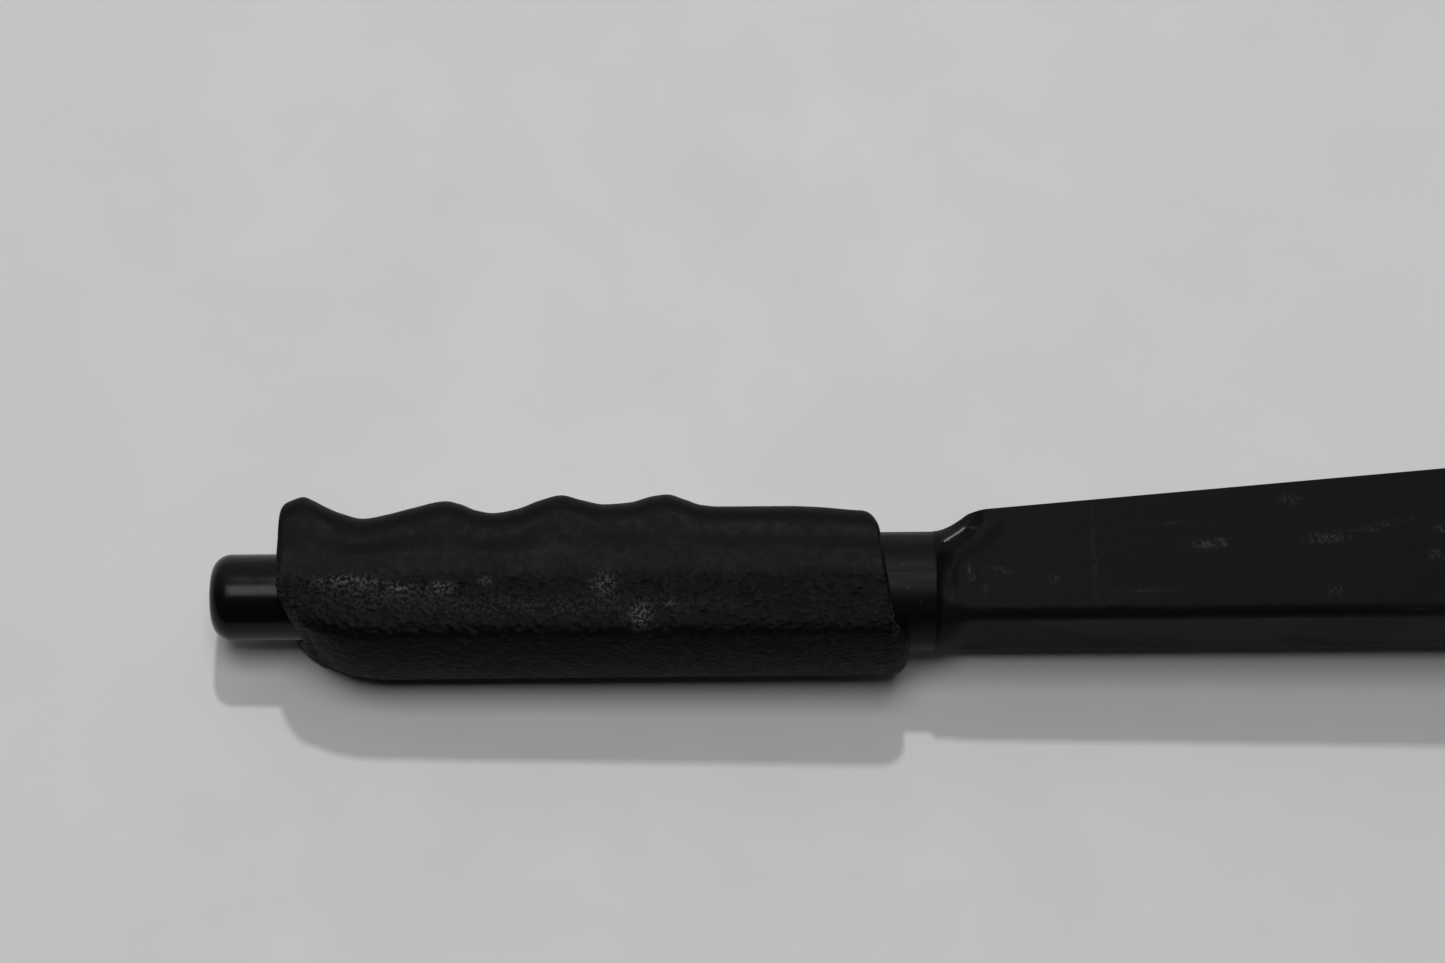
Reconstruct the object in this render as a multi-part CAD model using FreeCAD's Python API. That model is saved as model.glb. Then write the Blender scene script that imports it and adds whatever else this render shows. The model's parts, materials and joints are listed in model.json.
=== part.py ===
"""Hand-operated parking brake lever: push-button grip, steel tube, pressed channel arm, pawl and ratchet.

The lever lies on its side. +Z is the direction of the pivot bolt, +X runs from the push button to
the pivot, and -Y is the side that faces up in the car. The origin is the centre of the pivot bore.
All sizes are in millimetres.
"""
import FreeCAD, Part
import math
import os

Vector = FreeCAD.Vector

# Driving dimensions: layout along the lever
TIP_X = -330.0            # outer end of the push button
AXIS_Y = -10.0            # the tube's axis, above the pivot in the car
GRIP_FRONT = TIP_X + 13.2
GRIP_REAR_TOP = TIP_X + 123.4
GRIP_REAR_LIP = TIP_X + 129.2
TUBE_FRONT = TIP_X + 23.0
TUBE_REAR = TIP_X + 134.1
NECK_FRONT = TUBE_REAR - 36.0
FLARE_END = TUBE_REAR + 8.0

# Tube and arm
TUBE_R = 11.0
TUBE_BORE_R = 9.5
SHEET = 2.0
NECK_BORE_R = TUBE_BORE_R - SHEET
ARM_HALF = 11.0
WEB_Y = AXIS_Y - 8.8      # outer face of the channel's web
BEND_R = 2.6
WINDOW_HALF = 7.0         # half width of the web's window at the pivot end
NECK_SLIT = 20.0          # half angle of the slit in the rolled neck, degrees
EDGE_START = 12.1         # height of the channel's edge above the tube axis where the flare ends
EDGE_SLOPE = 0.0835       # rise of that edge per millimetre towards the pivot

# Grip
GRIP_HALF = 13.5
GRIP_CORNER = 6.0         # rounding on the finger side
GRIP_SIDE_TAPER = 1.0     # each side leans in by this much towards the fingers
CROWN_TOP = 15.2          # crown height over the tube axis, on the palm side
CROWN_EDGE_Y = -10.2      # centre of the rounded edge between a side and the crown
CROWN_EDGE_R = 2.0
NOSE_LENGTH = 14.0        # the crown falls away towards the front over this length
NOSE_DROP = 4.7
NOSE_START = TIP_X + 33.0
GRIP_STATION = 3.5        # spacing of the sections along the grip

# Push button, rod and spring
BUTTON_R = 8.0
BUTTON_ROUND = 3.6
BUTTON_SHOULDER_R = 9.2
BUTTON_REAR = TIP_X + 43.0
GUIDE_REAR = TIP_X + 38.0
BUTTON_OUT = 1.5          # travel outwards, to where the pawl is home in the teeth
RUNNING = 0.06            # radial clearance of a shaft in its bore
ROD_R = 2.0
ROD_LIFT = 6.3            # sideways joggle that takes the rod past the pawl
ROD_HOOK_R = 4.0
SEAT_X = TIP_X + 68.0
SPRING_WIRE_R = 0.7
SPRING_MEAN_R = 6.0
SPRING_TURNS = 8

# Pivot
SLEEVE_R = 8.0
PIVOT_BORE_R = 5.25
PIVOT_HALF = 21.5         # the sleeve stands proud of the arm, to fill its bracket
BUSH_R = 10.0
BUSH_FLANGE_R = 12.5
BUSH_FLANGE_FACE = 12.7

# Ratchet and pawl
SEGMENT_HALF = 2.5
TOOTH_TIP_R = 46.0
TOOTH_ROOT_R = 43.4
TOOTH_PITCH = 4.0         # degrees
TOOTH_COUNT = 11
TOOTH_TIP_LAND = 0.3      # degrees
TOOTH_ROOT_LAND = 0.6     # degrees
LOCK_FLANK = 20.75        # root of the engaged tooth's locking flank, degrees from -X towards +Y
FLANK_LEAN = 26.0         # lean of that flank from radial, which sets it square to the pawl's pin
ANCHOR = (27.0, -4.0)
ANCHOR_R = 4.25
PAWL_PIN = (-58.0, 1.0)
PAWL_PIN_R = 4.0
PAWL_BOSS_R = 6.5
PAWL_HOME_TURN = 7.47     # degrees from the engaged pawl to the pawl just clear of the teeth
FIT_GAP = 0.3             # gap between the engaged pawl's nose and the tooth flanks
STOP_PIN_R = 3.0
STOP_PIN_ALONG = 0.38     # place of the stop pin along the segment's upper edge, from hub to rim
STOP_GAP = 0.1
WEB_END = -52.0           # the web stops here, to let the segment rise between the cheeks

# Cable stirrup
CLEVIS = (4.0, 38.0)
CLEVIS_R = 4.0
STIRRUP_LENGTH = 27.0
STIRRUP_STRIP = 2.5
STIRRUP_HALF = 8.7
CABLE_BORE_R = 3.3

OUT = "parts"


def save(name, shape):
    """Write one piece, after checking that it is a sound closed solid."""
    if not shape.isValid():
        raise ValueError(name + " is not a valid shape")
    shape.exportStep(os.path.join(OUT, name + ".step"))
    box = shape.BoundBox
    print(f"{name:18s} solids {len(shape.Solids)}  volume {shape.Volume:9.1f}  "
          f"x {box.XMin:7.1f} {box.XMax:7.1f}  y {box.YMin:6.1f} {box.YMax:6.1f}  "
          f"z {box.ZMin:6.1f} {box.ZMax:6.1f}")


def cyl_z(x, y, radius, low, high):
    return Part.makeCylinder(radius, high - low, Vector(x, y, low), Vector(0, 0, 1))


def cyl_x(start, end, radius, y=AXIS_Y, z=0.0):
    return Part.makeCylinder(radius, end - start, Vector(start, y, z), Vector(1, 0, 0))


def ring_z(x, y, outer, inner, low, high):
    return cyl_z(x, y, outer, low, high).cut(cyl_z(x, y, inner, low - 1, high + 1))


def ring_x(start, end, outer, inner):
    return cyl_x(start, end, outer).cut(cyl_x(start - 1, end + 1, inner))


def block(x0, x1, y0, y1, z0, z1):
    return Part.makeBox(x1 - x0, y1 - y0, z1 - z0, Vector(x0, y0, z0))


def rounded_wire(corners, z=0.0):
    """Closed outline in a plane of constant z: straight runs joined by an arc at each (x, y, radius)."""
    count = len(corners)
    edges = []
    ends = []
    for i, (x, y, radius) in enumerate(corners):
        here = Vector(x, y, z)
        back = Vector(*corners[i - 1][:2], z) - here
        on = Vector(*corners[(i + 1) % count][:2], z) - here
        back.normalize()
        on.normalize()
        if radius == 0:
            ends.append((here, None, here))
            continue
        half = back.getAngle(on) / 2
        reach = radius / math.tan(half)
        middle = (back + on).normalize() * (radius / math.sin(half) - radius)
        ends.append((here + back * reach, here + middle, here + on * reach))
    for i, (first, middle, last) in enumerate(ends):
        if middle is not None:
            edges.append(Part.Arc(first, middle, last).toShape())
        following = ends[(i + 1) % count][0]
        if last.distanceToPoint(following) > 1e-6:
            edges.append(Part.LineSegment(last, following).toShape())
    return Part.Wire(edges)


def plate(corners, low, high):
    face = Part.Face(rounded_wire(corners, low))
    return face.extrude(Vector(0, 0, high - low))


def polar(radius, degrees):
    """A point about the pivot, at an angle measured from -X towards +Y."""
    angle = math.radians(degrees)
    return (-radius * math.cos(angle), radius * math.sin(angle))


def tangent_hull(a, radius_a, b, radius_b, low, high):
    """Plate around two discs, with straight tangent sides."""
    ax, ay = a
    bx, by = b
    gap = math.hypot(bx - ax, by - ay)
    along = math.atan2(by - ay, bx - ax)
    lean = math.acos((radius_a - radius_b) / gap)
    corners = []
    for x, y, radius, sign in ((ax, ay, radius_a, 1), (bx, by, radius_b, 1),
                               (bx, by, radius_b, -1), (ax, ay, radius_a, -1)):
        angle = along + sign * lean
        corners.append(Vector(x + radius * math.cos(angle), y + radius * math.sin(angle), low))
    body = Part.Face(Part.makePolygon(corners + corners[:1])).extrude(Vector(0, 0, high - low))
    return body.fuse([cyl_z(ax, ay, radius_a, low, high), cyl_z(bx, by, radius_b, low, high)]).removeSplitter()


def line(a, b):
    return Part.LineSegment(a, b).toShape()


def arc(a, middle, b):
    return Part.Arc(a, middle, b).toShape()


# Grip ---------------------------------------------------------------------------------------------

# Finger side of the grip: distance from the button's tip, height over the tube axis
FINGER_RIDGE = [(9.0, 13.0), (12.8, 15.0), (17.2, 17.0), (21.0, 15.2), (28.4, 12.6), (36.5, 14.4),
                (43.7, 15.9), (52.3, 13.5), (64.9, 16.8), (72.9, 15.0), (84.4, 16.8), (93.0, 14.5),
                (106.0, 14.4), (118.0, 13.5), (131.0, 11.8)]


def ridge_height(distance):
    """Height of the finger side: a smooth curve through the ridge's points that never overshoots them."""
    xs = [x for x, _ in FINGER_RIDGE]
    ys = [y for _, y in FINGER_RIDGE]
    steps = [b - a for a, b in zip(xs, xs[1:])]
    rises = [(b - a) / h for a, b, h in zip(ys, ys[1:], steps)]
    slopes = [rises[0]]
    for before, after in zip(rises, rises[1:]):
        slopes.append(2 * before * after / (before + after) if before * after > 0 else 0.0)
    slopes.append(rises[-1])
    i = min(max(sum(x <= distance for x in xs) - 1, 0), len(steps) - 1)
    t = (distance - xs[i]) / steps[i]
    return (ys[i] * (1 + 2 * t) * (1 - t) ** 2 + slopes[i] * steps[i] * t * (1 - t) ** 2
            + ys[i + 1] * t * t * (3 - 2 * t) - slopes[i + 1] * steps[i] * t * t * (1 - t))


def crown_height(x):
    """Height of the palm side's crown, which falls away towards the grip's front end."""
    into_nose = max(0.0, (NOSE_START - x) / NOSE_LENGTH)
    return max(CROWN_TOP - NOSE_DROP * into_nose ** 2, -CROWN_EDGE_Y + CROWN_EDGE_R + 0.15)


def grip_section(x, top):
    """Closed outline of the grip across the lever at x: crowned palm side, flat sides, rounded finger side."""
    def at(height, z):
        return Vector(x, AXIS_Y + height, z)

    crown = crown_height(x)
    sagitta = crown + CROWN_EDGE_Y
    z_edge = GRIP_HALF - CROWN_EDGE_R
    crown_r = (sagitta ** 2 + z_edge ** 2 - CROWN_EDGE_R ** 2) / (2 * (sagitta - CROWN_EDGE_R))
    lean = math.asin(z_edge / (crown_r - CROWN_EDGE_R))
    crown_z = crown_r * math.sin(lean)
    crown_y = crown_r - crown - crown_r * math.cos(lean)
    turn = (math.pi / 2 + lean) / 2
    half_top = GRIP_HALF - GRIP_SIDE_TAPER
    diagonal = GRIP_CORNER * math.sqrt(0.5)
    edges = [arc(at(crown_y, -crown_z), at(-crown, 0), at(crown_y, crown_z))]
    for side in (1, -1):
        edge_mid = at(CROWN_EDGE_Y - CROWN_EDGE_R * math.cos(turn),
                      side * (z_edge + CROWN_EDGE_R * math.sin(turn)))
        low = at(CROWN_EDGE_Y, side * GRIP_HALF)
        waist = at(3.0, side * GRIP_HALF)
        shoulder = at(top - GRIP_CORNER, side * half_top)
        corner_mid = at(top - GRIP_CORNER + diagonal, side * (half_top - GRIP_CORNER + diagonal))
        crest = at(top, side * (half_top - GRIP_CORNER))
        edges += [arc(at(crown_y, side * crown_z), edge_mid, low), line(low, waist), line(waist, shoulder),
                  arc(shoulder, corner_mid, crest)]
    edges.append(line(at(top, half_top - GRIP_CORNER), at(top, GRIP_CORNER - half_top)))
    return Part.Wire(Part.__sortEdges__(edges))


def make_grip():
    first, last = FINGER_RIDGE[0][0], FINGER_RIDGE[-1][0]
    count = round((last - first) / GRIP_STATION)
    distances = [first + (last - first) * i / count for i in range(count + 1)]
    body = Part.makeLoft([grip_section(TIP_X + d, ridge_height(d)) for d in distances], True, False)
    front = GRIP_FRONT
    ends = plate([(front, AXIS_Y + 20.0, 0), (front, AXIS_Y - 4.5, 9.0), (front + 10.5, AXIS_Y - 13.5, 4.0),
                  (front + 20.0, AXIS_Y - 17.0, 0), (GRIP_REAR_LIP, AXIS_Y - 17.0, 0),
                  (GRIP_REAR_LIP, AXIS_Y - 12.4, 1.0), (GRIP_REAR_LIP - 2.8, AXIS_Y - 10.4, 2.0),
                  (GRIP_REAR_TOP - 0.4, AXIS_Y + 20.0, 0)], -20, 20)
    body = body.common(ends)
    body = body.cut(cyl_x(TUBE_FRONT, GRIP_REAR_LIP + 5, TUBE_R))
    return body.cut(cyl_x(front - 5, TUBE_FRONT + 1, BUTTON_R + 0.4))


# Tube and arm -------------------------------------------------------------------------------------

def channel_section(x, top):
    """Outline of the U-shaped channel across the lever, open towards +Y."""
    def at(y, z):
        return Vector(x, y, z)

    outer, inner = ARM_HALF, ARM_HALF - SHEET
    bend = WEB_Y + BEND_R
    flat = ARM_HALF - BEND_R
    small = BEND_R - SHEET
    s = math.sqrt(0.5)
    return Part.Wire([
        line(at(top, outer), at(bend, outer)),
        arc(at(bend, outer), at(bend - BEND_R * s, flat + BEND_R * s), at(WEB_Y, flat)),
        line(at(WEB_Y, flat), at(WEB_Y, -flat)),
        arc(at(WEB_Y, -flat), at(bend - BEND_R * s, -flat - BEND_R * s), at(bend, -outer)),
        line(at(bend, -outer), at(top, -outer)),
        line(at(top, -outer), at(top, -inner)),
        line(at(top, -inner), at(bend, -inner)),
        arc(at(bend, -inner), at(bend - small * s, -flat - small * s), at(WEB_Y + SHEET, -flat)),
        line(at(WEB_Y + SHEET, -flat), at(WEB_Y + SHEET, flat)),
        arc(at(WEB_Y + SHEET, flat), at(bend - small * s, flat + small * s), at(bend, inner)),
        line(at(bend, inner), at(top, inner)),
        line(at(top, inner), at(top, outer))])


def neck_section(x, outer, inner):
    """Outline of the rolled neck: a slit ring whose pieces match those of the channel's section."""
    def at(radius, degrees):
        angle = math.radians(degrees)
        return Vector(x, AXIS_Y + radius * math.cos(angle), radius * math.sin(angle))

    def sweep(radius, start, end):
        return arc(at(radius, start), at(radius, (start + end) / 2), at(radius, end))

    stations = [NECK_SLIT, 112.0, 145.0, 215.0, 248.0, 360.0 - NECK_SLIT]
    out = [sweep(outer, a, b) for a, b in zip(stations, stations[1:])]
    stations.reverse()
    back = [sweep(inner, a, b) for a, b in zip(stations, stations[1:])]
    return Part.Wire(out + [line(at(outer, 360.0 - NECK_SLIT), at(inner, 360.0 - NECK_SLIT))]
                     + back + [line(at(inner, NECK_SLIT), at(outer, NECK_SLIT))])


def edge_height(x):
    return AXIS_Y + EDGE_START + EDGE_SLOPE * (x - FLARE_END)


def make_arm_channel():
    neck = Part.Face(neck_section(NECK_FRONT, TUBE_BORE_R, NECK_BORE_R))
    neck = neck.extrude(Vector(TUBE_REAR + 1.0 - NECK_FRONT, 0, 0))
    flare = Part.makeLoft([neck_section(TUBE_REAR, TUBE_R, NECK_BORE_R),
                           channel_section(FLARE_END, edge_height(FLARE_END))], True, True)
    channel = Part.Face(channel_section(FLARE_END, 60.0)).extrude(Vector(60.0 - FLARE_END, 0, 0))
    profile = plate([(FLARE_END, WEB_Y, 0), (15.0, WEB_Y, 16.0), (14.5, 38.0, 5.0), (13.5, 47.5, 9.4),
                     (-5.5, 47.5, 9.4), (-5.5, 31.0, 12.0), (-30.0, 22.0, 30.0), (-54.0, 21.5, 30.0),
                     (-92.0, edge_height(-92.0), 60.0),
                     (FLARE_END, edge_height(FLARE_END), 0)], -20, 20)
    arm = neck.fuse([flare, channel.common(profile)]).removeSplitter()
    window = block(WEB_END, 20.0, WEB_Y - 1, WEB_Y + SHEET + 1, -WINDOW_HALF, WINDOW_HALF)
    holes = [window, cyl_z(0, 0, BUSH_R, -20, 20), cyl_z(*PAWL_PIN, PAWL_PIN_R, -20, 20),
             cyl_z(*stop_pin_centre(), STOP_PIN_R, -20, 20), cyl_z(*CLEVIS, CLEVIS_R, -20, 20)]
    return arm.cut(holes)


def make_arm():
    """The pressed arm. It is written as three touching solids, its channel and its two pivot cheeks."""
    whole = make_arm_channel()
    pivot_end = block(WEB_END, 20.0, -30.0, 60.0, -20.0, 20.0)
    right, left = sorted(whole.common(pivot_end).Solids, key=lambda cheek: cheek.BoundBox.ZMin)
    return whole.cut(pivot_end), left, right


def make_lever_tube():
    return ring_x(TUBE_FRONT, TUBE_REAR, TUBE_R, TUBE_BORE_R)


# Push button and rod ------------------------------------------------------------------------------

def make_release_button():
    body = cyl_x(TIP_X, BUTTON_REAR, BUTTON_R)
    rim = [edge for edge in body.Edges if abs(edge.BoundBox.XMax - TIP_X) < 1e-3]
    body = body.makeFillet(BUTTON_ROUND, rim)
    shoulder = cyl_x(GUIDE_REAR + BUTTON_OUT, BUTTON_REAR, BUTTON_SHOULDER_R)
    return body.fuse(shoulder).cut(cyl_x(TIP_X + 28.0, BUTTON_REAR + 1, ROD_R)).removeSplitter()


def make_button_guide():
    return ring_x(TUBE_FRONT, GUIDE_REAR, TUBE_BORE_R, BUTTON_R + RUNNING)


def make_release_rod():
    """Round wire: straight in the tube, joggled sideways past the pawl, hooked down through its slot."""
    hook_x = PAWL_PIN[0]
    joggle_start, joggle_end = hook_x - 26.0, hook_x - 12.0
    bend = 5.0
    lean = math.radians(35.0)

    def at(x, z):
        return Vector(x, AXIS_Y, z)

    def bend_at(x, z, before, after):
        """Arc of the joggle's radius about the corner (x, z), between two directions."""
        reach = bend * math.tan(abs(after - before) / 2)
        start = at(x - reach * math.cos(before), z - reach * math.sin(before))
        end = at(x + reach * math.cos(after), z + reach * math.sin(after))
        middle_turn = (before + after) / 2
        sagitta = bend / math.cos((after - before) / 2) - bend
        side = 1 if after > before else -1
        middle = at(x - side * sagitta * math.sin(middle_turn), z + side * sagitta * math.cos(middle_turn))
        return start, middle, end

    run = ROD_LIFT / math.tan(lean)
    middle_x = (joggle_start + joggle_end) / 2
    a = bend_at(middle_x - run / 2, 0.0, 0.0, lean)
    b = bend_at(middle_x + run / 2, ROD_LIFT, lean, 0.0)
    hook_centre_z = ROD_LIFT - ROD_HOOK_R
    s = math.sqrt(0.5)
    hook = (at(hook_x - ROD_HOOK_R, ROD_LIFT),
            at(hook_x - ROD_HOOK_R + ROD_HOOK_R * s, hook_centre_z + ROD_HOOK_R * s),
            at(hook_x, hook_centre_z))
    start = at(TIP_X + 28.0, 0.0)
    path = Part.Wire([line(start, a[0]), arc(*a), line(a[2], b[0]), arc(*b), line(b[2], hook[0]), arc(*hook),
                      line(hook[2], at(hook_x, -5.5))])
    section = Part.Wire(Part.makeCircle(ROD_R, start, Vector(1, 0, 0)))
    return path.makePipeShell([section], True, False)


def make_rod_retainer():
    """Push-on star washer on the rod's hook, behind the pawl."""
    x = PAWL_PIN[0]
    washer = ring_z(x, AXIS_Y, 4.0, ROD_R, -4.2, -3.4)
    notches = []
    for i in range(4):
        angle = math.radians(45 + 90 * i)
        notches.append(cyl_z(x + 2.6 * math.cos(angle), AXIS_Y + 2.6 * math.sin(angle), 0.5, -5, -3))
    return washer.cut(notches)


def make_spring_seat():
    """Cupped washer staked in the tube, with a lip that centres the spring."""
    disc = ring_x(SEAT_X, SEAT_X + 2.0, TUBE_BORE_R, ROD_R + 0.6)
    lip = ring_x(SEAT_X - 1.5, SEAT_X, SPRING_MEAN_R - SPRING_WIRE_R - 0.2, ROD_R + 0.6)
    return disc.fuse(lip).removeSplitter()


def make_button_spring():
    """Compression spring between the button's rear face and the seat, with half a wire left at each end."""
    start = BUTTON_REAR + SPRING_WIRE_R
    length = SEAT_X - SPRING_WIRE_R - start
    helix = Part.makeHelix(length / SPRING_TURNS, length, SPRING_MEAN_R)
    section = Part.Wire(Part.makeCircle(SPRING_WIRE_R, Vector(SPRING_MEAN_R, 0, 0), Vector(0, 1, 0)))
    coil = Part.Wire(helix).makePipeShell([section], True, True)
    coil.rotate(Vector(0, 0, 0), Vector(0, 1, 0), 90)
    coil.translate(Vector(start, AXIS_Y, 0))
    return coil


def make_rod_guide():
    """Plastic plug in the arm's neck that carries the rod on the tube's axis."""
    return ring_x(NECK_FRONT + 2.0, NECK_FRONT + 14.0, NECK_BORE_R, ROD_R + RUNNING)


# Pawl and ratchet ---------------------------------------------------------------------------------

def pawl_nose():
    """Outline of the pawl's nose, engaged: it follows the gap between two teeth, FIT_GAP inside it."""
    angle = math.radians(LOCK_FLANK)
    outward = Vector(-math.cos(angle), math.sin(angle), 0)
    upward = Vector(-math.sin(angle), -math.cos(angle), 0)

    def at(radius, side):
        point = outward * radius + upward * side
        return (point.x, point.y, 0)

    depth = TOOTH_TIP_R - TOOTH_ROOT_R
    lean = math.tan(math.radians(FLANK_LEAN))
    root_land = TOOTH_ROOT_R * math.radians(TOOTH_ROOT_LAND)
    mouth = TOOTH_TIP_R * math.radians(TOOTH_PITCH - TOOTH_TIP_LAND) - depth * lean
    slope = (mouth - root_land) / depth
    lift = 0.5
    tip = TOOTH_ROOT_R + lift
    front = FIT_GAP * math.hypot(1, lean) - lift * lean
    back = root_land + lift * slope - FIT_GAP * math.hypot(1, slope)
    return [at(tip, front), at(tip, back), at(tip + 5.0, back + 5.0 * slope), at(tip + 10.0, 9.5),
            at(tip + 13.0, 4.0), at(tip + 6.0, front - 6.0 * lean)]


def make_pawl():
    x, y = PAWL_PIN
    nose = plate(pawl_nose(), -SEGMENT_HALF, SEGMENT_HALF)
    web = tangent_hull((x, y), PAWL_BOSS_R, (x + 4.6, y + 9.6), 4.0, -SEGMENT_HALF, SEGMENT_HALF)
    engaged = nose.fuse(web)
    engaged.rotate(Vector(x, y, 0), Vector(0, 0, 1), PAWL_HOME_TURN)
    arm_end = AXIS_Y - 3.9
    arm = plate([(x - 5.0, y, 0), (x - 5.0, arm_end, 2.2), (x + 5.0, arm_end, 2.2), (x + 5.0, y, 0)],
                -SEGMENT_HALF, SEGMENT_HALF)
    boss_half = ARM_HALF - SHEET - 0.3
    boss = cyl_z(x, y, PAWL_BOSS_R, -boss_half, boss_half)
    slot_half = ROD_R + 0.45
    slot = block(x - slot_half, x + slot_half, arm_end - 1, AXIS_Y + 1.4, -5, 5)
    slot = slot.fuse(cyl_z(x, AXIS_Y + 1.4, slot_half, -5, 5))
    body = engaged.fuse([arm, boss]).removeSplitter()
    return body.cut([slot, cyl_z(x, y, PAWL_PIN_R + RUNNING, -20, 20)])


def segment_upper_edge():
    """Ends of the quadrant's upper edge, at the hub and at the rim. It meets the stop pin at rest."""
    end = LOCK_FLANK - TOOTH_PITCH * (TOOTH_COUNT - 1)
    return polar(12.0, end - 14.0), polar(TOOTH_TIP_R, end + 0.8)


def stop_pin_centre():
    hub, rim = segment_upper_edge()
    run = math.hypot(rim[0] - hub[0], rim[1] - hub[1])
    away = ((rim[1] - hub[1]) / run, -(rim[0] - hub[0]) / run)
    clear = -(STOP_PIN_R + STOP_GAP)
    return (hub[0] + STOP_PIN_ALONG * (rim[0] - hub[0]) + away[0] * clear,
            hub[1] + STOP_PIN_ALONG * (rim[1] - hub[1]) + away[1] * clear)


def make_ratchet_segment():
    """Toothed plate that stays with the car: quadrant, hub and the lug that anchors it."""
    low = -SEGMENT_HALF
    lean = math.degrees((TOOTH_TIP_R - TOOTH_ROOT_R) * math.tan(math.radians(FLANK_LEAN)) / TOOTH_TIP_R)
    teeth = []
    for i in range(-1, TOOTH_COUNT - 1):
        flank = LOCK_FLANK - TOOTH_PITCH * i
        teeth.append(polar(TOOTH_TIP_R, flank + lean + TOOTH_TIP_LAND))
        teeth.append(polar(TOOTH_TIP_R, flank + lean))
        teeth.append(polar(TOOTH_ROOT_R, flank))
        teeth.append(polar(TOOTH_ROOT_R, flank - TOOTH_ROOT_LAND))
    last = LOCK_FLANK - TOOTH_PITCH * (TOOTH_COUNT - 1) + lean
    teeth.append(polar(TOOTH_TIP_R, last + TOOTH_TIP_LAND))
    hub_corner, rim_corner = segment_upper_edge()
    outline = [polar(12.0, LOCK_FLANK + TOOTH_PITCH + 14.0)] + teeth + [rim_corner, hub_corner]
    points = [Vector(x, y, low) for x, y in outline]
    quadrant = Part.Face(Part.makePolygon(points + points[:1])).extrude(Vector(0, 0, 2 * SEGMENT_HALF))
    lug = tangent_hull((0, 0), 14.0, ANCHOR, 8.5, low, SEGMENT_HALF)
    body = quadrant.fuse(lug).removeSplitter()
    return body.cut([cyl_z(0, 0, SLEEVE_R, -20, 20), cyl_z(*ANCHOR, ANCHOR_R, -20, 20)])


def make_pivot_sleeve():
    return ring_z(0, 0, SLEEVE_R, PIVOT_BORE_R, -PIVOT_HALF, PIVOT_HALF)


def make_pivot_bush(side):
    """Flanged bush pressed into one cheek; its barrel spaces the cheek from the segment."""
    barrel_end = SEGMENT_HALF + FIT_GAP
    barrel = cyl_z(0, 0, BUSH_R, barrel_end, ARM_HALF)
    flange = cyl_z(0, 0, BUSH_FLANGE_R, ARM_HALF, BUSH_FLANGE_FACE)
    bush = barrel.fuse(flange).cut(cyl_z(0, 0, SLEEVE_R + RUNNING, 0, 20)).removeSplitter()
    if side < 0:
        bush.rotate(Vector(0, 0, 0), Vector(1, 0, 0), 180)
    return bush


def riveted_pin(x, y, radius, head_radius, head_height):
    shank = cyl_z(x, y, radius, -ARM_HALF, ARM_HALF)
    heads = []
    for face, out in ((ARM_HALF, 1), (-ARM_HALF, -1)):
        centre = Vector(x, y, face)
        heads.append(Part.makeCone(head_radius, head_radius * 0.72, head_height, centre, Vector(0, 0, out)))
    return shank.fuse(heads).removeSplitter()


# Cable stirrup ------------------------------------------------------------------------------------

def make_clevis_pin():
    x, y = CLEVIS
    shank = cyl_z(x, y, CLEVIS_R, -13.4, ARM_HALF)
    head = cyl_z(x, y, 6.5, ARM_HALF, 13.3)
    rim = [edge for edge in head.Edges if abs(edge.BoundBox.ZMin - 13.3) < 1e-3 and edge.Closed]
    head = head.makeFillet(0.8, rim)
    groove = ring_z(x, y, CLEVIS_R + 1, CLEVIS_R - 0.8, -12.9, -12.1)
    return shank.fuse(head).cut(groove).removeSplitter()


def make_clevis_washer():
    return ring_z(*CLEVIS, 7.5, CLEVIS_R, -12.1, -ARM_HALF)


def make_clevis_clip():
    """Open retaining clip in the pin's groove."""
    x, y = CLEVIS
    clip = ring_z(x, y, 6.6, CLEVIS_R - 0.8, -12.9, -12.1)
    return clip.cut(block(x + 1.0, x + 9.0, y - 2.4, y + 2.4, -14, -11))


def make_cable_stirrup():
    """Bent strip: two arms on the clevis pin and a cross wall that takes the cable's threaded end."""
    x, y = CLEVIS
    end = x + STIRRUP_LENGTH
    hand = 6.5
    outline = rounded_u(x, end, STIRRUP_HALF, STIRRUP_STRIP)
    strip = outline.extrude(Vector(0, 2 * hand, 0))
    strip.translate(Vector(0, y - hand, 0))
    ends = cyl_z(x, y, hand, -20, 20).fuse(block(x, end + 1, y - hand, y + hand, -20, 20))
    body = strip.common(ends)
    bore = Part.makeCylinder(CABLE_BORE_R, 20, Vector(end - 10, y, 0), Vector(1, 0, 0))
    return body.cut([cyl_z(x, y, CLEVIS_R + RUNNING, -20, 20), bore]).removeSplitter()


def rounded_u(x, end, half, strip):
    """U-shaped strip seen from the side of the lever that faces down, in the plane y = 0."""
    bend = 4.0
    small = bend - strip
    s = math.sqrt(0.5)
    start = x - 8.0

    def at(px, pz):
        return Vector(px, 0, pz)

    edges = [line(at(start, half), at(end - bend, half)),
             arc(at(end - bend, half), at(end - bend + bend * s, half - bend + bend * s), at(end, half - bend)),
             line(at(end, half - bend), at(end, bend - half)),
             arc(at(end, bend - half), at(end - bend + bend * s, bend - half - bend * s), at(end - bend, -half)),
             line(at(end - bend, -half), at(start, -half)),
             line(at(start, -half), at(start, strip - half)),
             line(at(start, strip - half), at(end - bend, strip - half)),
             arc(at(end - bend, strip - half), at(end - bend + small * s, bend - half - small * s),
                 at(end - strip, bend - half)),
             line(at(end - strip, bend - half), at(end - strip, half - bend)),
             arc(at(end - strip, half - bend), at(end - bend + small * s, half - bend + small * s),
                 at(end - bend, half - strip)),
             line(at(end - bend, half - strip), at(start, half - strip)),
             line(at(start, half - strip), at(start, half))]
    return Part.Face(Part.Wire(edges))


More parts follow.
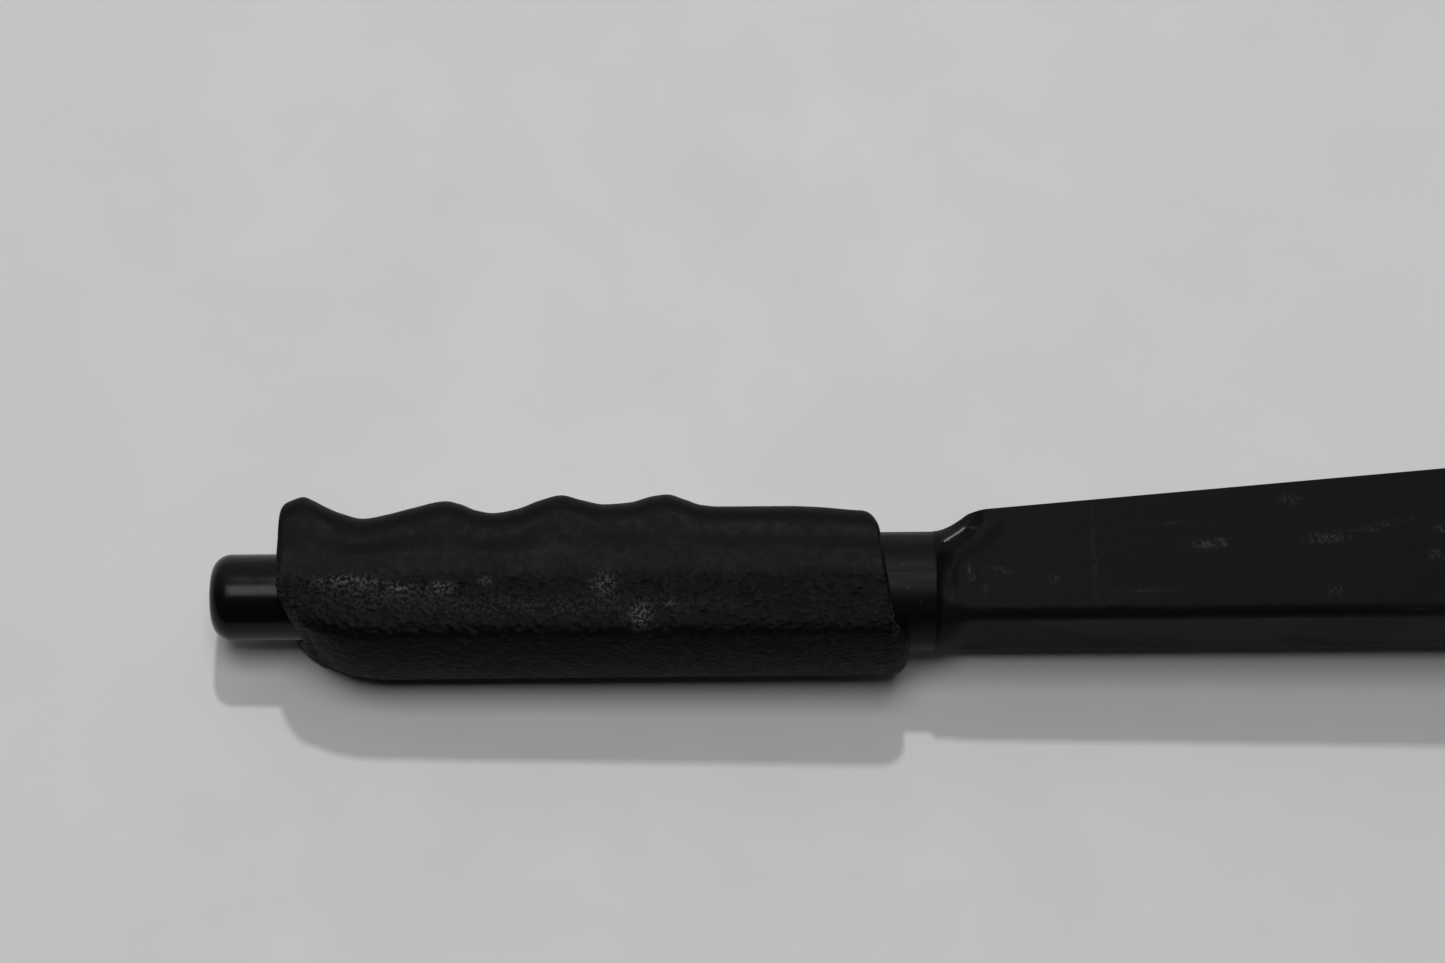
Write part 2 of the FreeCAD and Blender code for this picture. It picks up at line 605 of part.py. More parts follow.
def main():
    os.makedirs(OUT, exist_ok=True)
    save("grip", make_grip())
    save("lever_tube", make_lever_tube())
    channel, cheek_left, cheek_right = make_arm()
    save("arm_channel", channel)
    save("arm_cheek_left", cheek_left)
    save("arm_cheek_right", cheek_right)
    save("release_button", make_release_button())
    save("button_guide", make_button_guide())
    save("release_rod", make_release_rod())
    save("rod_retainer", make_rod_retainer())
    save("rod_guide", make_rod_guide())
    save("spring_seat", make_spring_seat())
    save("button_spring", make_button_spring())
    save("pawl", make_pawl())
    save("pawl_pin", riveted_pin(*PAWL_PIN, PAWL_PIN_R, 6.2, 1.6))
    save("ratchet_segment", make_ratchet_segment())
    save("pivot_sleeve", make_pivot_sleeve())
    save("pivot_bush_left", make_pivot_bush(1))
    save("pivot_bush_right", make_pivot_bush(-1))
    save("stop_pin", riveted_pin(*stop_pin_centre(), STOP_PIN_R, 4.6, 1.2))
    save("clevis_pin", make_clevis_pin())
    save("clevis_washer", make_clevis_washer())
    save("clevis_clip", make_clevis_clip())
    save("cable_stirrup", make_cable_stirrup())


main()
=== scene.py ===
"""Parking brake lever lying on a pale table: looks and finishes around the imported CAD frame."""
import bpy
import bmesh
import bisect
import json
import math
from mathutils import Matrix, Vector, noise


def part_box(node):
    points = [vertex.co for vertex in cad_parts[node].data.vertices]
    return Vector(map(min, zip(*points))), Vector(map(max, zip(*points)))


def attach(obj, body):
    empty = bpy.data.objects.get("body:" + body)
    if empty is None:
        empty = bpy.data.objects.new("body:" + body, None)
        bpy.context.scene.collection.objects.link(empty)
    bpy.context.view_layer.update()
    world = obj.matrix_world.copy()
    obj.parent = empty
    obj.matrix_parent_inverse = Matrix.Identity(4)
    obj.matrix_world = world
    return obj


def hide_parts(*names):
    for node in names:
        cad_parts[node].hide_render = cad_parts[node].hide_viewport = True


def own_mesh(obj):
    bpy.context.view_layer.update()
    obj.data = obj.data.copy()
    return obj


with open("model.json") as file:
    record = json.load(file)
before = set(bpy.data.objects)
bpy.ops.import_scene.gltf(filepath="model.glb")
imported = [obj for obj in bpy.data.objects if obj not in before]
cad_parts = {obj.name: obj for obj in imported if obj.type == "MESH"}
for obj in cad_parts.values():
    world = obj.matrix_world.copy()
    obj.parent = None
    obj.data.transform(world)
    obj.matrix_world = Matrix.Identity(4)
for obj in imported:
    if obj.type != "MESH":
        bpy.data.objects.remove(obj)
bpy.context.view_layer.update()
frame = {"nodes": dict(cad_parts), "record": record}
MM = 0.001

# Places read from the frame, in metres
TUBE_LOW, TUBE_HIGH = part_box("lever_tube")
BUTTON_LOW, BUTTON_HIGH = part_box("release_button")
GRIP_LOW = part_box("grip")[0]
ARM_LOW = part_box("arm_channel")[0]
SLEEVE_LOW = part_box("pivot_sleeve")[0]
TIP_X = BUTTON_LOW[0]
AXIS_Y = (TUBE_LOW[1] + TUBE_HIGH[1]) / 2
TUBE_R = (TUBE_HIGH[2] - TUBE_LOW[2]) / 2
ARM_NODES = [node for node in frame["nodes"] if node.startswith("arm_")]

# Camera: the view's middle, its height above the horizon, its roll and its distance
CAMERA_AIM = Vector((TIP_X + 94.7 * MM, AXIS_Y + 19.4 * MM, 7.0 * MM))
CAMERA_ELEVATION = math.radians(70.0)
CAMERA_ROLL = math.radians(0.57)
CAMERA_DISTANCE = 600 * MM
VIEW_WIDTH = 268.1 * MM
SENSOR = 36.0
CLIP_START = 0.01

# Stage, in metres and watts: a wide light overhead, a small key light on the finger side, and a faint
# sky that is dark on the palm side. The lights' places are counted from LIGHT_AIM.
TABLE_HALF = 4.0
LIGHT_AIM = Vector((TIP_X + 0.12, AXIS_Y, 0.0))
SKY_SLOPE = (0.0, 0.95, 0.30)
SKY_FROM = 0.1
SKY_LOW = 0.012
SKY_HIGH = 0.45
SKY_COLOR = (0.96, 0.98, 1.0, 1.0)
OVERHEAD_PLACE = Vector((0.0, 0.06, 3.0))
OVERHEAD_SIZE = 1.3
OVERHEAD_POWER = 33.0
KEY_PLACE = Vector((0.04, 1.24, 2.10))
KEY_SIZE = 0.11
KEY_POWER = 16.8
KEY_COLOR = (1.0, 0.99, 0.97)

# Grip, in millimetres from the button's tip and over the tube's axis
GRIP_FRONT = 13.2
GRIP_REAR_TOP = 122.6
GRIP_REAR_LIP = 128.6
GRIP_HALF = 13.45
GRIP_CORNER = 6.0
GRIP_TAPER = 1.0
GRIP_HOLE = 8.4           # radius of the hole round the button
GRIP_TUBE_GAP = 0.03      # between the grip's bore and the tube
GRIP_STEP = 23.0          # where the hole for the button meets the bore for the tube
SIDE_TOP = 3.0            # height where the flat side ends and the shoulder starts
CROWN_TOP = 15.15
CROWN_EDGE = -9.6
CROWN_EDGE_R = 3.0
CROWN_NOSE = 10.6         # the crown's height at the grip's front, just under the button's hole
NOSE_END = 33.0
NOSE_SCALE = 7.4
NOSE_POWER = 2.48
EDGE_RISE = 0.55          # how much the edge rises for each millimetre that the crown falls
EDGE_GAP = 0.3            # the least height between the edge's rounding and the crown
LEAN_FROM = -1.0          # the front leans back below this height
LEAN_OVER = 9.6
LEAN_BACK = 6.0
LEAN_POWER = 1.95
REAR_SLANT = 0.12
REAR_SLANT_FROM = 15.0    # height where the rear face is at GRIP_REAR_TOP
REAR_LIP_FROM = 10.8      # depth under the axis where the lip starts, and where it is full
REAR_LIP_FULL = 13.9
FRONT_ROUND = 1.0         # radius of the front's rim
FINGER_RIDGE = ((9.0, 12.0), (13.2, 15.3), (15.0, 16.3), (17.2, 17.0), (19.0, 16.3), (21.0, 15.2),
                (23.9, 13.85), (28.4, 12.65), (32.8, 13.4), (37.3, 14.6), (43.6, 15.9), (46.2, 15.3),
                (49.2, 14.05), (52.3, 13.5), (56.6, 14.2), (61.0, 15.9), (64.9, 16.85), (68.5, 15.9),
                (72.9, 15.0), (77.4, 15.3), (81.8, 16.5), (84.4, 16.8), (87.8, 15.75), (90.7, 14.7),
                (94.0, 14.35), (107.0, 14.3), (113.0, 14.0), (118.9, 13.4), (132.0, 12.6))

# Grain on the grip: scale along, up and across; each layer's scale; each layer's depth in millimetres
GRAIN_STRETCH = (0.62, 1.3, 1.3)
CELL_SCALE = 0.85
WRINKLE_SCALE = 1.3
FINE_SCALE = 3.1
CELL_DEPTH = 0.20
WRINKLE_DEPTH = 0.17
POLISHED_DEPTH = 0.005
FINE_DEPTH = 0.006
GRAIN_DEPTH = 0.40        # about the depth of the deepest wrinkles

# Button and tube, in millimetres
BUTTON_R = 8.0
BUTTON_DOME = 3.6
BUTTON_COLLAR = 39.5      # where the wider rear part starts, from the tip
ROD_HOLE_R = 2.0
ROD_HOLE_DEPTH = 15.0
TUBE_OUTER = TUBE_R / MM
TUBE_WALL = 1.5
TUBE_BORE = (TUBE_R - TUBE_WALL * MM) / MM
TUBE_START = (TUBE_LOW[0] - TIP_X) / MM
TUBE_END = (TUBE_HIGH[0] - TIP_X) / MM

# Arm, in millimetres
SHEET = 2.0
SHEET_RIM = 0.35          # rounding of the sheet's cut edges
ARM_HALF = 11.0
ARM_WEB = -8.8
ARM_BEND = 2.6
ARM_EDGE = 12.1
ARM_EDGE_FROM = 8.0       # how far behind the tube the edge is at ARM_EDGE
ARM_SLOPE = 0.0835
FLARE_LENGTH = 5.6
FLARE_CORNER = 0.15       # share of the flare's rise that its end's rounding takes
NECK_SLIT = 20.0          # half of the gap between the neck's edges, in degrees
NECK_GAP = 0.05           # between the neck and the tube's bore
NECK_RINGS = 10
FLARE_RINGS = 40
FLARE_STEP = 0.3
ARM_STEP = 0.5
ARM_CUT = -100.0          # x where the modelled front of the arm meets its pivot end

# Welding, soft edges and crease angles for the spring and the arm, in metres and radians
WELD = 2e-6
CAD_BEVEL = 0.18 * MM
ARM_BEVEL = 0.25 * MM
BEVEL_ANGLE = math.radians(35)
SPRING_CREASE = math.radians(40)
ARM_CREASE = math.radians(30)


# Shape helpers ------------------------------------------------------------------------------------

def new_object(name, data):
    obj = bpy.data.objects.new(name, data)
    bpy.context.scene.collection.objects.link(obj)
    return obj


def mesh_from(name, points, faces, rounded=True):
    mesh = bpy.data.meshes.new(name)
    mesh.from_pydata([tuple(p) for p in points], [], faces)
    mesh.validate()
    for polygon in mesh.polygons:
        polygon.use_smooth = rounded
    return mesh


def placed(points):
    """Points given in millimetres from the tip, over the axis and to the side, as places in metres."""
    return [(TIP_X + d * MM, AXIS_Y + height * MM, z * MM) for d, height, z in points]


def smooth(value, low, high):
    """0 below low, 1 above high, and an even S between."""
    t = min(max((value - low) / (high - low), 0.0), 1.0)
    return t * t * (3 - 2 * t)


def ridge_curve(points):
    """A curve through the points that never overshoots them."""
    xs = [x for x, _ in points]
    ys = [y for _, y in points]
    steps = [b - a for a, b in zip(xs, xs[1:])]
    rises = [(b - a) / h for a, b, h in zip(ys, ys[1:], steps)]
    middle = [2 * a * b / (a + b) if a * b > 0 else 0.0 for a, b in zip(rises, rises[1:])]
    slopes = [rises[0]] + middle + [rises[-1]]

    def height(x):
        i = min(max(bisect.bisect_right(xs, x) - 1, 0), len(steps) - 1)
        t = (x - xs[i]) / steps[i]
        return (ys[i] * (1 + 2 * t) * (1 - t) ** 2 + slopes[i] * steps[i] * t * (1 - t) ** 2
                + ys[i + 1] * t * t * (3 - 2 * t) - slopes[i + 1] * steps[i] * t * t * (1 - t))

    return height


def end_rounding(depth, radius):
    """How far the outline shrinks at a depth in from an end with a rounded rim."""
    if depth >= radius:
        return 0.0
    return radius - math.sqrt(max(radius ** 2 - (radius - depth) ** 2, 0.0))


def patches(rows, d, height):
    """Strength at a point of the soft patches in rows, at most 1."""
    total = 0.0
    for along, up, wide, tall, strength in rows:
        away = ((d - along) / wide) ** 2 + ((height - up) / tall) ** 2
        if away < 6:
            total += strength * math.exp(-away)
    return min(total, 1.0)


def grid_faces(rings, count):
    """Quads between rings of count points each; the last ring joins the first."""
    faces = []
    for i in range(rings):
        j = (i + 1) % rings
        for k in range(count):
            m = (k + 1) % count
            faces.append((i * count + k, j * count + k, j * count + m, i * count + m))
    return faces


def set_attribute(mesh, name, values):
    layer = mesh.attributes.new(name, "FLOAT", "POINT")
    layer.data.foreach_set("value", values)


def add_piece(name, mesh, finish, body, nodes):
    """A piece with its faces turned outwards, which rides on the body and stands for the CAD nodes."""
    mesh.materials.append(finish)
    facing = bmesh.new()
    facing.from_mesh(mesh)
    bmesh.ops.recalc_face_normals(facing, faces=facing.faces)
    facing.to_mesh(mesh)
    facing.free()
    piece = new_object(name, mesh)
    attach(piece, body)
    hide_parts(*nodes)
    return piece


# Shader helpers -----------------------------------------------------------------------------------

class Finish:
    """A material under construction: short calls for the nodes that every finish here uses."""

    def __init__(self, name, color, roughness, metallic=0.0, specular=0.5):
        self.material = bpy.data.materials.new(name)
        self.material.use_nodes = True
        self.nodes = self.material.node_tree.nodes
        self.links = self.material.node_tree.links
        self.shader = self.nodes["Principled BSDF"]
        self.shader.inputs["Base Color"].default_value = (*color, 1.0)
        self.shader.inputs["Roughness"].default_value = roughness
        self.shader.inputs["Metallic"].default_value = metallic
        self.shader.inputs["Specular IOR Level"].default_value = specular
        self.place = self.nodes.new("ShaderNodeTexCoord").outputs["Object"]

    def link(self, source, target):
        self.links.new(source, target)

    def set(self, **inputs):
        for name, value in inputs.items():
            self.shader.inputs[name.replace("_", " ")].default_value = value

    def noise(self, scale, detail=4.0, roughness=0.55, distortion=0.0, stretch=None):
        node = self.nodes.new("ShaderNodeTexNoise")
        node.inputs["Scale"].default_value = scale
        node.inputs["Detail"].default_value = detail
        node.inputs["Roughness"].default_value = roughness
        node.inputs["Distortion"].default_value = distortion
        self.link(self.stretched(stretch) if stretch else self.place, node.inputs["Vector"])
        return node.outputs["Fac"]

    def cells(self, scale):
        node = self.nodes.new("ShaderNodeTexVoronoi")
        node.inputs["Scale"].default_value = scale
        self.link(self.place, node.inputs["Vector"])
        return node.outputs["Distance"]

    def stretched(self, scale):
        node = self.nodes.new("ShaderNodeMapping")
        node.inputs["Scale"].default_value = scale
        self.link(self.place, node.inputs["Vector"])
        return node.outputs["Vector"]

    def ramp(self, value, low, high, out_low=0.0, out_high=1.0):
        """value from low..high to out_low..out_high, clamped and smooth."""
        node = self.nodes.new("ShaderNodeMapRange")
        node.interpolation_type = "SMOOTHSTEP"
        node.inputs["From Min"].default_value = low
        node.inputs["From Max"].default_value = high
        node.inputs["To Min"].default_value = out_low
        node.inputs["To Max"].default_value = out_high
        self.link(value, node.inputs["Value"])
        return node.outputs["Result"]

    def math(self, operation, a, b):
        """a and b are numbers or sockets."""
        node = self.nodes.new("ShaderNodeMath")
        node.operation = operation
        for socket, value in zip(node.inputs, (a, b)):
            if isinstance(value, (int, float)):
                socket.default_value = value
            else:
                self.link(value, socket)
        return node.outputs["Value"]

    def attribute(self, name):
        node = self.nodes.new("ShaderNodeAttribute")
        node.attribute_name = name
        return node.outputs["Fac"]

    def mix(self, factor, low, high):
        """Colour mix; low and high are colours or sockets."""
        node = self.nodes.new("ShaderNodeMix")
        node.data_type = "RGBA"
        self.link(factor, node.inputs["Factor"])
        for socket, value in ((node.inputs["A"], low), (node.inputs["B"], high)):
            if isinstance(value, tuple):
                socket.default_value = (*value, 1.0)
            else:
                self.link(value, socket)
        return node.outputs["Result"]

    def color(self, source):
        self.link(source, self.shader.inputs["Base Color"])

    def roughness(self, source):
        self.link(source, self.shader.inputs["Roughness"])

    def bump(self, height, strength, distance):
        node = self.nodes.new("ShaderNodeBump")
        node.inputs["Strength"].default_value = strength
        node.inputs["Distance"].default_value = distance
        self.link(height, node.inputs["Height"])
        self.link(node.outputs["Normal"], self.shader.inputs["Normal"])


# Grip ---------------------------------------------------------------------------------------------

GRIP_RUNS = (("crown", 26), ("edge", 9), ("side", 38), ("shoulder", 28), ("corner", 22), ("top", 12))
GRIP_STEPS = [(name, i / count) for name, count in GRIP_RUNS for i in range(count)]
FRONT_DEPTHS = (0.0, 0.06, 0.2, 0.4, 0.7, 1.05)
REAR_DEPTHS = (2.6, 2.2, 1.8, 1.4, 1.0, 0.7, 0.4, 0.2, 0.06, 0.0)
EVEN_RINGS = 300
BORE_RINGS = 8

# Scuffed patches: distance from the tip, height, half width along, half width up, strength
SCUFFS = ((26.5, -1.4, 6.0, 1.2, 0.8), (36.2, -3.0, 1.8, 1.0, 0.9), (43.6, -2.8, 2.2, 1.1, 0.9),
          (51.6, -1.6, 1.2, 0.8, 0.7), (72.8, -2.4, 2.2, 2.0, 0.8), (79.7, -8.6, 1.8, 2.0, 1.0),
          (85.0, -6.3, 1.0, 0.8, 0.5), (125.8, -8.4, 0.7, 3.6, 0.9), (32.0, -4.0, 12.0, 2.0, 0.25),
          (60.0, -6.5, 30.0, 2.0, 0.2))
SCUFF_MIRROR = 140.0      # the hidden side has the same patches, fainter, and counted back from here
SCUFF_HIDDEN = 0.5

ridge_height = ridge_curve(FINGER_RIDGE)


def crown_height(d):
    """Height of the palm side's crown, which falls away towards the front."""
    into_nose = max(0.0, (NOSE_END - d) / NOSE_SCALE)
    return max(CROWN_TOP - into_nose ** NOSE_POWER, CROWN_NOSE)


def grip_point(d, run, t):
    """One point of the grip's half outline at d: (height over the tube's axis, distance to the side)."""
    top = ridge_height(d)
    z_edge = GRIP_HALF - CROWN_EDGE_R
    half_top = GRIP_HALF - GRIP_TAPER
    crown = crown_height(d)
    edge = max(CROWN_EDGE + EDGE_RISE * (CROWN_TOP - crown), CROWN_EDGE_R + EDGE_GAP - crown)
    if run in ("crown", "edge"):
        rise = crown + edge
        radius = (rise ** 2 + z_edge ** 2 - CROWN_EDGE_R ** 2) / (2 * (rise - CROWN_EDGE_R))
        lean = math.asin(z_edge / (radius - CROWN_EDGE_R))
        if run == "crown":
            return radius - crown - radius * math.cos(lean * t), radius * math.sin(lean * t)
        turn = lean + (math.pi / 2 - lean) * t
        return edge - CROWN_EDGE_R * math.cos(turn), z_edge + CROWN_EDGE_R * math.sin(turn)
    if run == "side":
        return edge + (SIDE_TOP - edge) * t, GRIP_HALF
    if run == "shoulder":
        height = SIDE_TOP + (top - GRIP_CORNER - SIDE_TOP) * t
        return height, GRIP_HALF - GRIP_TAPER * smooth(t, 0.0, 1.0)
    if run == "corner":
        turn = math.pi / 2 * t
        return (top - GRIP_CORNER + GRIP_CORNER * math.sin(turn),
                half_top - GRIP_CORNER + GRIP_CORNER * math.cos(turn))
    return top, (half_top - GRIP_CORNER) * (1 - t)


def grip_front(height):
    """Front face, which leans back under the button."""
    under = max(0.0, (LEAN_FROM - height) / LEAN_OVER)
    return GRIP_FRONT + LEAN_BACK * under ** LEAN_POWER


def grip_rear(height):
    """Rear face: slanted, with a lip on the palm side."""
    slant = GRIP_REAR_TOP + (REAR_SLANT_FROM - height) * REAR_SLANT
    return slant + (GRIP_REAR_LIP - slant) * smooth(-height, REAR_LIP_FROM, REAR_LIP_FULL)


def rear_round(height):
    """Radius of the rear's rim: small at the sides, larger towards the palm side and the finger side."""
    return 0.8 + 2.0 * smooth(-height, 9.0, 13.0) + 1.8 * smooth(height, 8.0, 13.0)


def grip_grain(d, height, z):
    """Leather grain, in millimetres inwards: coarse low down, faint where hands have polished it."""
    coarse = smooth(height, 1.5, -1.5) * (0.55 + 0.45 * smooth(height, -13.0, -10.0))
    along, up, across = GRAIN_STRETCH
    place = Vector((d * along, height * up, z * across))
    near, far = noise.voronoi(place * CELL_SCALE)[0][:2]
    cell = 1.0 - min((far - near) * 2.2, 1.0)
    wrinkle = noise.fractal(place * WRINKLE_SCALE, 0.9, 2.1, 3)
    fine = noise.noise(place * FINE_SCALE)
    return ((POLISHED_DEPTH + CELL_DEPTH * coarse) * cell
            + (POLISHED_DEPTH + WRINKLE_DEPTH * coarse) * (wrinkle + 0.5) + FINE_DEPTH * (fine + 1))


def grip_ring(share, steps):
    """One ring of the sleeve, at a share of its length, and each point's mark (scuffs plus the painted rim
    highlight), polish and grain depth.
    """
    length = GRIP_REAR_LIP - GRIP_FRONT
    ring = []
    marks = []
    for run, t, side in steps:
        guess, _ = grip_point(GRIP_FRONT + length * share, run, t)
        front, rear = grip_front(guess), grip_rear(guess)
        d = front + (rear - front) * share
        height, z = grip_point(d, run, t)
        shrink = end_rounding(d - front, FRONT_ROUND) + end_rounding(rear - d, rear_round(height))
        grain = grip_grain(d, height, z * side)
        scale = 1 - (shrink + grain) / math.hypot(height, z)
        ring.append((d, height * scale, z * side * scale))
        if side > 0:
            scuffed = patches(SCUFFS, d, height)
        else:
            scuffed = SCUFF_HIDDEN * patches(SCUFFS, SCUFF_MIRROR - d, height)
        # Painted highlight: a lighter line along the lower part of the front rim, where the rounded edge
        # catches the light; it is added to the scuffs mark.
        rim = 0.35 * smooth(1.4 - (d - front), 0.0, 1.0) * smooth(-height, -4.0, 2.0)
        marks.append((min(scuffed + rim, 1.0), smooth(height, -2.0, 1.5), grain / GRAIN_DEPTH))
    return ring, marks


def drawn_in(ring, radius, share, face):
    """The ring drawn towards a circle about the tube's axis, on a face given as its d for a height."""
    drawn = []
    for _, height, z in ring:
        scale = 1 + (radius / math.hypot(height, z) - 1) * share
        drawn.append((face(height * scale), height * scale, z * scale))
    return drawn


def make_grip(finish):
    """The grip's sleeve: outside, both ends and the two bores as one closed grid."""
    steps = [(run, t, 1) for run, t in GRIP_STEPS] + [("top", 1.0, 1)]
    steps += [(run, t, -1) for run, t in reversed(GRIP_STEPS[1:])]
    length = GRIP_REAR_LIP - GRIP_FRONT
    shares = [depth / length for depth in FRONT_DEPTHS]
    shares += [i / EVEN_RINGS for i in range(4, EVEN_RINGS - 7)]
    shares += [1 - depth / length for depth in REAR_DEPTHS]
    rings = []
    marks = []
    for share in shares:
        ring, ring_marks = grip_ring(share, steps)
        rings.append(ring)
        marks += ring_marks
    first, last = rings[0], rings[-1]
    tube = TUBE_OUTER + GRIP_TUBE_GAP
    inner = [drawn_in(last, tube, i / BORE_RINGS, grip_rear) for i in range(1, BORE_RINGS + 1)]
    inner.append(drawn_in(last, tube, 1.0, lambda height: GRIP_STEP))
    inner.append(drawn_in(first, GRIP_HOLE, 1.0, lambda height: GRIP_STEP))
    inner += [drawn_in(first, GRIP_HOLE, i / BORE_RINGS, grip_front) for i in range(BORE_RINGS, 0, -1)]
    rings += inner
    marks += [(0.0, 1.0, 0.0)] * (len(inner) * len(steps))
    points = placed(point for ring in rings for point in ring)
    mesh = mesh_from("grip_sleeve", points, grid_faces(len(rings), len(steps)))
    # The first mark holds the scuffs and the painted highlight along the front rim.
    for name, values in zip(("scuff_and_highlight", "worn", "depth"), zip(*marks)):
        set_attribute(mesh, name, values)
    add_piece("grip_sleeve", mesh, finish, "lever", ["grip"])


# Turned pieces ------------------------------------------------------------------------------------

def lathe(name, profile, wobble=None, around=180):
    """Closed solid of revolution about the tube's axis.

    The profile is a list of (distance from tip, radius) in millimetres.
    """
    closed = profile[0] == profile[-1]
    rows = profile[:-1] if closed else profile
    points = []
    for d, radius in rows:
        for k in range(around):
            angle = 2 * math.pi * k / around
            dd, rr = wobble(d, radius, angle) if wobble else (d, radius)
            points.append((TIP_X + dd * MM, AXIS_Y + rr * MM * math.cos(angle), rr * MM * math.sin(angle)))
    faces = grid_faces(len(rows), around)
    if not closed:
        caps = [tuple(range(around)), tuple(range(len(points) - around, len(points)))]
        faces = faces[:-around] + caps
    return mesh_from(name, points, faces)


def dome(radius, size, count):
    """The button's rounded front rim, from its flat end face out to its side."""
    turns = [math.radians(90 + 90 * i / count) for i in range(count, -1, -1)]
    return [(size + size * math.cos(a), radius - size + size * math.sin(a)) for a in turns]


def make_button(finish):
    """The push button: domed front, a wider collar inside the grip, and the rod's hole at the rear."""
    collar = (BUTTON_HIGH[2] - BUTTON_LOW[2]) / 2 / MM
    rear = (BUTTON_HIGH[0] - BUTTON_LOW[0]) / MM
    chamfer = 0.25
    profile = [(0.12, 0.02), (0.08, 1.5), (0.02, 3.0)]
    profile += dome(BUTTON_R, BUTTON_DOME, 14)
    profile += [(d, BUTTON_R) for d in (4.5, 12.0, 24.0, BUTTON_COLLAR)]
    profile += [(BUTTON_COLLAR + 0.05, collar - chamfer), (BUTTON_COLLAR + chamfer, collar)]
    profile += [(rear - chamfer, collar), (rear, collar - chamfer)]
    profile += [(rear, ROD_HOLE_R + 0.1), (rear - 10, ROD_HOLE_R)]
    profile += [(rear - ROD_HOLE_DEPTH + 0.1, ROD_HOLE_R), (rear - ROD_HOLE_DEPTH, 0.02)]
    mesh = lathe("button_body", profile)
    add_piece("button_body", mesh, finish, "release", ["release_button"])


def make_tube(finish):
    """The steel tube: plain at the front, cut off a little raggedly at the rear."""
    front, rear = TUBE_START, TUBE_END
    outer, bore = TUBE_OUTER, TUBE_BORE
    profile = [(front, bore + 0.2), (front, outer - 0.2), (front + 0.2, outer)]
    profile += [(front + 0.2 + i * (rear - front - 1.2) / 60, outer) for i in range(1, 60)]
    profile += [(rear - 0.9, outer), (rear - 0.5, outer), (rear - 0.2, outer - 0.06)]
    profile += [(rear - 0.04, outer - 0.25), (rear, outer - 0.5), (rear, bore + 0.4)]
    profile += [(rear - 0.3, bore), (rear - 1.0, bore), (front + 0.5, bore)]
    profile.append(profile[0])

    def wobble(d, radius, angle):
        ragged = smooth(d, rear - 0.8, rear)
        place = Vector((d * 0.3, 5 * math.cos(angle), 5 * math.sin(angle)))
        cut = noise.noise(place * 1.1) + 0.6 * noise.noise(place * 3.3)
        swell = 0.04 * noise.noise(place * 0.5)
        return d - 0.16 * ragged * (cut + 1), radius - 0.04 - 0.5 * abs(swell)

    mesh = lathe("tube_body", profile, wobble, 240)
    add_piece("tube_body", mesh, finish, "lever", ["lever_tube"])


# Spring -------------------------------------------------------------------------------------------

def make_spring(finish):
    """The release spring, which the button's rear face squeezes towards its seat; here it is only welded
    and smoothly shaded from the CAD coil.
    """
    coil = bmesh.new()
    coil.from_mesh(frame["nodes"]["button_spring"].data)
    bmesh.ops.remove_doubles(coil, verts=coil.verts, dist=WELD)
    for face in coil.faces:
        face.smooth = True
    mesh = bpy.data.meshes.new("spring_coil")
    coil.to_mesh(mesh)
    coil.free()
    mesh.set_sharp_from_angle(angle=SPRING_CREASE)
    piece = add_piece("spring_coil", mesh, finish, "lever", ["button_spring"])
    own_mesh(piece)


# Arm ----------------------------------------------------------------------------------------------

OUTER_RUNS = (("side", 46), ("bend", 10), ("web", 24), ("bend_far", 10), ("side_far", 46))
INNER_RUNS = (("side", 22), ("bend", 7), ("web", 12), ("bend_far", 7), ("side_far", 22))
RING_ANGLES = {"side": (NECK_SLIT, 112.0), "bend": (112.0, 145.0), "web": (145.0, 215.0),
               "bend_far": (215.0, 248.0), "side_far": (248.0, 360.0 - NECK_SLIT)}

# Dents and lumps of the pressing: distance from the tip, height, half widths, depth outwards (mm)
ARM_DENTS = ((136.0, -1.0, 1.2, 2.2, -0.35), (139.4, -0.6, 1.4, 2.2, 0.16), (146.3, -6.8, 1.4, 0.6, 0.14),
             (155.6, -6.4, 0.4, 0.3, 0.18), (166.0, -6.8, 2.6, 0.9, -0.18), (149.5, -6.9, 0.8, 0.4, 0.10),
             (152.0, -7.0, 0.5, 0.4, 0.08), (190.0, -7.0, 3.0, 0.7, -0.08), (160.5, -6.9, 0.7, 0.4, -0.08))

# Scuffs: distance from the tip, height, half width along, half width up, strength
ARM_SCUFFS = ((139.6, -0.4, 0.28, 1.4, 0.8), (140.3, -1.2, 0.22, 1.2, 0.7), (142.4, -3.4, 0.5, 1.0, 0.4),
              (144.6, 0.6, 2.0, 0.35, 0.45), (146.4, -0.2, 1.6, 0.3, 0.4), (136.2, -5.0, 0.3, 0.7, 0.7),
              (155.0, -1.4, 1.2, 0.8, 0.35), (162.5, 3.5, 0.3, 8.0, 0.35), (182.7, 4.8, 2.6, 0.7, 0.8),
              (185.5, 5.6, 1.2, 0.5, 0.5), (198.9, 13.4, 1.6, 0.7, 0.7), (205.0, 5.8, 3.4, 0.8, 0.8),
              (206.3, -4.5, 1.4, 0.8, 0.6), (225.2, 2.5, 1.4, 0.9, 0.7), (226.7, 7.4, 1.8, 0.7, 0.7),
              (213.0, 7.6, 1.4, 0.3, 0.6), (216.0, 8.4, 1.6, 0.3, 0.6), (219.5, 9.4, 1.6, 0.3, 0.6),
              (171.0, -4.0, 6.0, 0.25, 0.3), (177.0, 9.0, 5.0, 0.25, 0.25), (140.4, 8.4, 1.0, 0.5, 0.5))
ARM_SCUFF_MIRROR = 360.0  # the hidden side has them counted back from here
HIDDEN_RELIEF = 40.0      # its swells are taken this far up, where there are no dents


